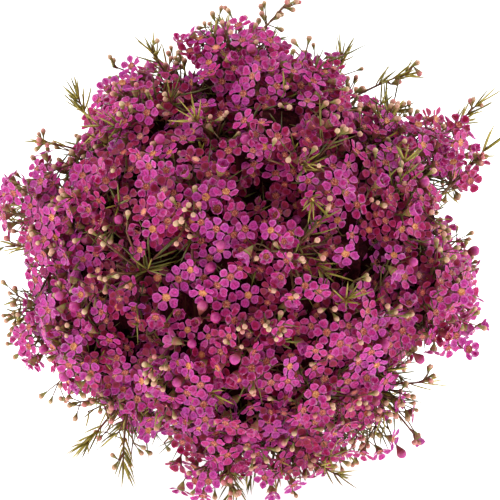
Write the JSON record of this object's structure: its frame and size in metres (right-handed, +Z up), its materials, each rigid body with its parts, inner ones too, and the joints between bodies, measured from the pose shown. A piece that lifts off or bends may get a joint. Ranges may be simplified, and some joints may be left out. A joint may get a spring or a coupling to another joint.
{
  "type": "waxflower bunch",
  "caption": "Tied bunch of cut waxflower stems lying on its side, with a domed head of small waxy pink flowers, round buds and needle leaves.",
  "frame": {"origin": "on the surface that the bunch lies on, under the middle of its bounding box", "axes": "+Z up; the bunch lies along Y, its flowering head towards -Y and its cut ends towards +Y; +X to the right as seen looking at the crown along +Y"},
  "size_m": [0.325, 0.5276, 0.2931],
  "materials": {
    "bark": "thin olive-brown woody stems and twigs with fine grain, needle leaves olive to yellow-green",
    "petals": "waxy magenta petals with a soft sheen, orange to dark red centres, cream and pink buds on olive twigs",
    "rubber_band": "plain tan rubber band, satin"
  },
  "bodies": {
    "root": {"stem_01": "bark", "stem_02": "bark", "stem_03": "bark", "stem_04": "bark", "stem_05": "bark", "stem_06": "bark", "stem_07": "bark", "stem_08": "bark", "stem_09": "bark", "stem_10": "bark", "tie": "rubber_band", "spray_01": "petals", "spray_02": "petals", "spray_03": "petals", "spray_04": "petals", "spray_05": "petals", "spray_06": "petals", "spray_07": "petals", "spray_08": "petals", "spray_09": "petals", "spray_10": "petals", "spray_11": "petals", "spray_12": "petals", "spray_13": "petals", "spray_14": "petals", "spray_15": "petals", "spray_16": "petals", "spray_17": "petals", "spray_18": "petals", "spray_19": "petals", "spray_20": "petals", "spray_21": "petals", "spray_22": "petals", "spray_23": "petals", "spray_24": "petals", "spray_25": "petals", "spray_26": "petals", "spray_27": "petals", "spray_28": "petals", "spray_29": "petals", "spray_30": "petals", "spray_31": "petals", "spray_32": "petals", "spray_33": "petals", "spray_34": "petals", "spray_35": "petals", "spray_36": "petals", "spray_37": "petals", "spray_38": "petals", "spray_39": "petals", "spray_40": "petals"}
  },
  "joints": []
}
